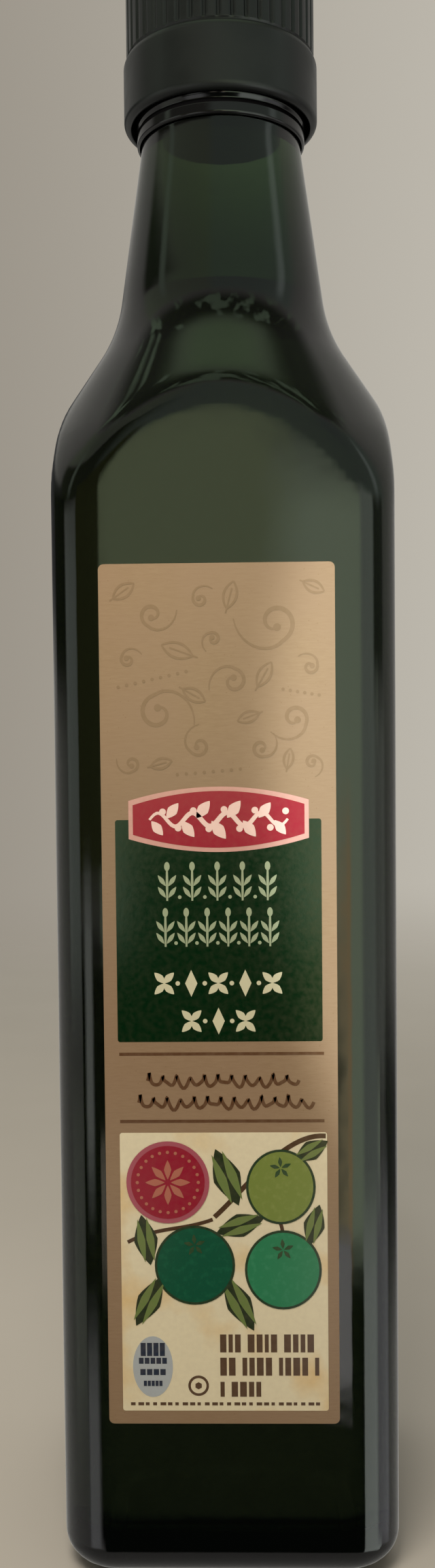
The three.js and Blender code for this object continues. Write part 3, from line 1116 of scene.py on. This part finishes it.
# The room that glass and plastic mirror, as patches of light and dark. Each has the turn and height of its
# middle, half its width and half its height, how soft its sides and its ends are, its brightness and its
# tint. Degrees; 0 is where the camera stands, turns count to the right of the label, heights count up from
# level. Later patches cover earlier ones.
patches = {
    "under": (0, -90, 400, 50, 1, 5, 0.30, "#fbf8f0"),
    "upperLeft": (-55, 22, 50, 11, 6, 3, 0.08, "#f6ffe0"),
    "neckLeft": (-55, 40, 50, 7, 6, 1.5, 0.42, "#f2ffe0"),
    "backLeft": (-142, 12, 42, 8, 6, 3, 0.08, "#ffffff"),
    "upperRight": (40, 29, 54, 18, 9, 3, 0.42, "#ecfff0"),
    "dimRing": (0, 61, 400, 10, 1, 5, 0.10, "#f6ffe8"),
    "ceiling": (0, 90, 400, 19, 1, 9, 0.72, "#dcffc8"),
    "frontRight": (32, -6, 41, 17, 2, 2.5, 1.9, "#ecffdc"),
    "labelGap": (-1.6, -10.5, 3.9, 12, 0.8, 2, 0.03, "#ffffff"),
    "frontLeft": (-3.5, 5, 5, 9, 1.5, 2, 1.2, "#eeffca"),
    "rightHaze": (48, -4, 20, 17, 7, 3, 1.15, "#f2fff0"),
    "rightLow": (50, -33, 24, 12, 3, 3, 2.0, "#f6fff6"),
    "rightFlag": (75, 7, 14, 6, 4, 3, 0.10, "#ffffff"),
    "rightSide": (78, -7, 15, 8, 5, 3, 0.75, "#fbfff4"),
    "rightGap": (116, -17.5, 26, 5, 8, 4, 0.08, "#ffffff"),
    "rightFoot": (80, -27, 18, 8, 5, 3, 0.95, "#fbfbff"),
    "leftFlag": (-30, 5, 23, 12, 1.5, 2, 0.12, "#fdffb0"),
    "frontDark": (-24, -22, 28, 13, 1, 2, 0.02, "#ffffff"),
    "labelGlow": (-8.5, -21, 4.0, 3.5, 1, 1.5, 1.1, "#fff0dc"),
    "labelSide": (5.6, -18, 1.5, 14, 1.2, 3, 2.3, "#ffdca6"),
    "frontDarkFoot": (6, -34, 21, 12, 3, 2, 0.03, "#e0ffe0"),
    "labelFoot": (4.6, -24, 1.6, 3, 0.8, 1, 1.8, "#f8f4f4"),
    "leftSpot": (-34, -13, 9, 6, 5, 3, 1.25, "#fafff6"),
    "leftFoot": (-36, -32, 14, 7, 6, 3, 1.0, "#ffffff"),
    "leftGrey": (-69, -1, 16, 10, 3, 4, 0.85, "#f4fff4"),
    "leftLow": (-69, -22, 16, 6, 4, 3, 0.6, "#fbfff0"),
    "leftBlack": (-107, 8, 21, 7, 4, 3, 0.02, "#ffffff"),
    "leftStreak": (-76, 28, 4, 12, 3, 6, 0.55, "#ecffe6"),
    "rightStreak": (76, 28, 5, 14, 4, 6, 0.9, "#f0fff6"),
}
room = {
    "level": 0.42,
    "tint": "#fbf8f0",
    "lightLevel": 0.29,  # what soft surfaces are lit by, all round
    "lightTint": "#fff8ec",
    # The backdrop's two tones are painted shade and painted light: the left one darker, the right one
    # lighter, as if lit from the right
    "backdropShadedLeft": "#979085",
    "backdropLitRight": "#c2bdb2",
    "backdropSpread": 0.3,
}
# Unclear bright spots in a ring high up, which the arch of the shoulder mirrors
clutter = {
    "height": 60, "tall": 11, "soft": 4, "scale": 5.0, "from": 0.52, "to": 0.62,
    "level": 0.6, "tint": "#e2ffd8",
}


# 1 inside a span round the middle, 0 outside, with soft sides
def within(tree, value, middle, half, soft):
    off = addNode(tree, "Math", {"operation": "SUBTRACT", 0: value, 1: middle})
    size = addNode(tree, "Math", {"operation": "ABSOLUTE", 0: off})
    return addNode(tree, "MapRange", {
        "interpolation_type": "SMOOTHSTEP", "Value": size,
        "From Min": half - soft, "From Max": half + soft, "To Min": 1.0, "To Max": 0.0,
    })


def litColour(level, tint):
    return [part * level for part in colour(tint)[:3]] + [1]


# Lays a patch of light over what is seen so far, where both masks are open
def coverWith(tree, seen, across, upright, light):
    mask = addNode(tree, "Math", {"operation": "MULTIPLY", 0: across, 1: upright})
    return addNode(tree, "Mix", {"data_type": "RGBA", 0: mask, 6: seen, 7: light})


# What is mirrored in each direction
def mirroredRoom(tree, way, part):
    toFront = addNode(tree, "Math", {"operation": "MULTIPLY", 0: part.outputs["Y"], 1: -1.0})
    turn = addNode(tree, "Math", {"operation": "ARCTAN2", 0: part.outputs["X"], 1: toFront})
    turn = addNode(tree, "Math", {"operation": "DEGREES", 0: turn})
    height = addNode(tree, "Math", {"operation": "ARCSINE", 0: part.outputs["Z"]})
    height = addNode(tree, "Math", {"operation": "DEGREES", 0: height})
    seen = addNode(tree, "RGB")
    seen.outputs[0].default_value = litColour(room["level"], room["tint"])
    for turnTo, heightTo, wide, tall, softSides, softEnds, level, tint in patches.values():
        across = within(tree, turn, turnTo, wide, softSides)
        upright = within(tree, height, heightTo, tall, softEnds)
        seen = coverWith(tree, seen, across, upright, litColour(level, tint))
    belt = within(tree, height, clutter["height"], clutter["tall"], clutter["soft"])
    spots = addNode(tree, "TexNoise", {"Scale": clutter["scale"], "Detail": 2.0, "Vector": way})
    spots = addNode(tree, "MapRange", {
        "interpolation_type": "SMOOTHSTEP", "Value": spots,
        "From Min": clutter["from"], "From Max": clutter["to"],
    })
    return coverWith(tree, seen, belt, spots, litColour(clutter["level"], clutter["tint"]))


# The camera, also through the glass, sees a backdrop with painted shade: darker on the left and lighter on
# the right, as if lit from the right. Soft surfaces get plain light from all round; the rest is mirrored
def makeRoom():
    world = bpy.data.worlds.new("room")
    bpy.context.scene.world = world
    world.cycles.sampling_method = "NONE"  # each kind of ray then sees its own part of the room, exactly
    world.use_nodes = True
    tree = world.node_tree
    tree.nodes.clear()
    way = addNode(tree, "TexCoord").outputs["Generated"]
    part = addNode(tree, "SeparateXYZ", {0: way})
    # Painted shade across the backdrop, from its darker left to its lighter right
    side = addNode(tree, "MapRange", {
        "interpolation_type": "SMOOTHSTEP", "Value": part.outputs["X"],
        "From Min": -room["backdropSpread"], "From Max": room["backdropSpread"],
    })
    backdrop = addNode(tree, "Mix", {
        "data_type": "RGBA", 0: side, 6: colour(room["backdropShadedLeft"]), 7: colour(room["backdropLitRight"]),
    })
    ray = addNode(tree, "LightPath").outputs
    straight = addNode(tree, "Math", {
        "operation": "MAXIMUM", 0: ray["Is Camera Ray"], 1: ray["Is Transmission Ray"],
    })
    lighting = addNode(tree, "Mix", {
        "data_type": "RGBA", 0: ray["Is Diffuse Ray"],
        6: mirroredRoom(tree, way, part), 7: litColour(room["lightLevel"], room["lightTint"]),
    })
    shown = addNode(tree, "Mix", {"data_type": "RGBA", 0: straight, 6: lighting, 7: backdrop})
    addNode(tree, "OutputWorld", {"Surface": addNode(tree, "Background", {"Color": shown})})


# Lamps: place and aim in metres, power in watts. The glass mirrors the room, not the lamps. The cone's soft
# edge runs down the label, right of the middle.
lamps = {
    "nearTop": {
        "place": (-0.05, -0.17, 0.32), "aim": (0, 0, 0.13), "size": 0.12, "power": 0.6, "colour": "#fff4e8",
    },
    "lowRight": {
        "place": (0.13, -0.48, 0.05), "aim": (0.1505, -0.0285, 0.128), "size": 0.004, "power": 9.0,
        "colour": "#eaf5fa", "cone": 36.0, "blend": 0.11,
    },
    "overhead": {
        "place": (-0.1, 0.5, 1.6), "aim": (0, 0.2, 0), "size": 2.0, "power": 11.0, "colour": "#fffdf8",
    },
}


def makeLamps():
    for name, lamp in lamps.items():
        data = bpy.data.lights.new(name, "SPOT" if "cone" in lamp else "AREA")
        if "cone" in lamp:
            data.spot_size = math.radians(lamp["cone"])
            data.spot_blend = lamp["blend"]
            data.shadow_soft_size = lamp["size"]
        else:
            data.size = lamp["size"]
        data.energy = lamp["power"]
        data.color = colour(lamp["colour"])[:3]
        light = bpy.data.objects.new(name, data)
        way = Vector(lamp["aim"]) - Vector(lamp["place"])
        turn = way.to_track_quat("-Z", "Y").to_matrix().to_4x4()
        light.matrix_world = Matrix.Translation(lamp["place"]) @ turn
        light.visible_glossy = False
        light.visible_transmission = False
        bpy.context.scene.collection.objects.link(light)


# Camera: close in front of the bottle, in line with the label's middle. Millimetres and degrees; the focal
# length is in pixels of a picture of the given height.
camera = {
    "place": (3.5, -244.0, 142.2),
    "tilt": -2.44,
    "turn": 1.226,
    "roll": -0.567,
    "focalPixels": 1962.8,
    "tallPixels": 2306,
}


def makeCamera():
    data = bpy.data.cameras.new("camera")
    data.sensor_width = 36
    data.lens = camera["focalPixels"] * data.sensor_width / camera["tallPixels"]
    data.clip_start = 0.01
    view = bpy.data.objects.new("camera", data)
    place = Matrix.Translation([mm(value) for value in camera["place"]])
    turn = Matrix.Rotation(math.radians(camera["turn"]), 4, "Z")
    tilt = Matrix.Rotation(math.radians(90 + camera["tilt"]), 4, "X")
    roll = Matrix.Rotation(math.radians(camera["roll"]), 4, "Z")
    view.matrix_world = place @ turn @ tilt @ roll
    bpy.context.scene.collection.objects.link(view)
    bpy.context.scene.camera = view


makeFloor()
makeRoom()
makeLamps()
makeCamera()
bpy.context.scene.view_settings.view_transform = "Standard"
print("stage 6: floor, light and camera are set")
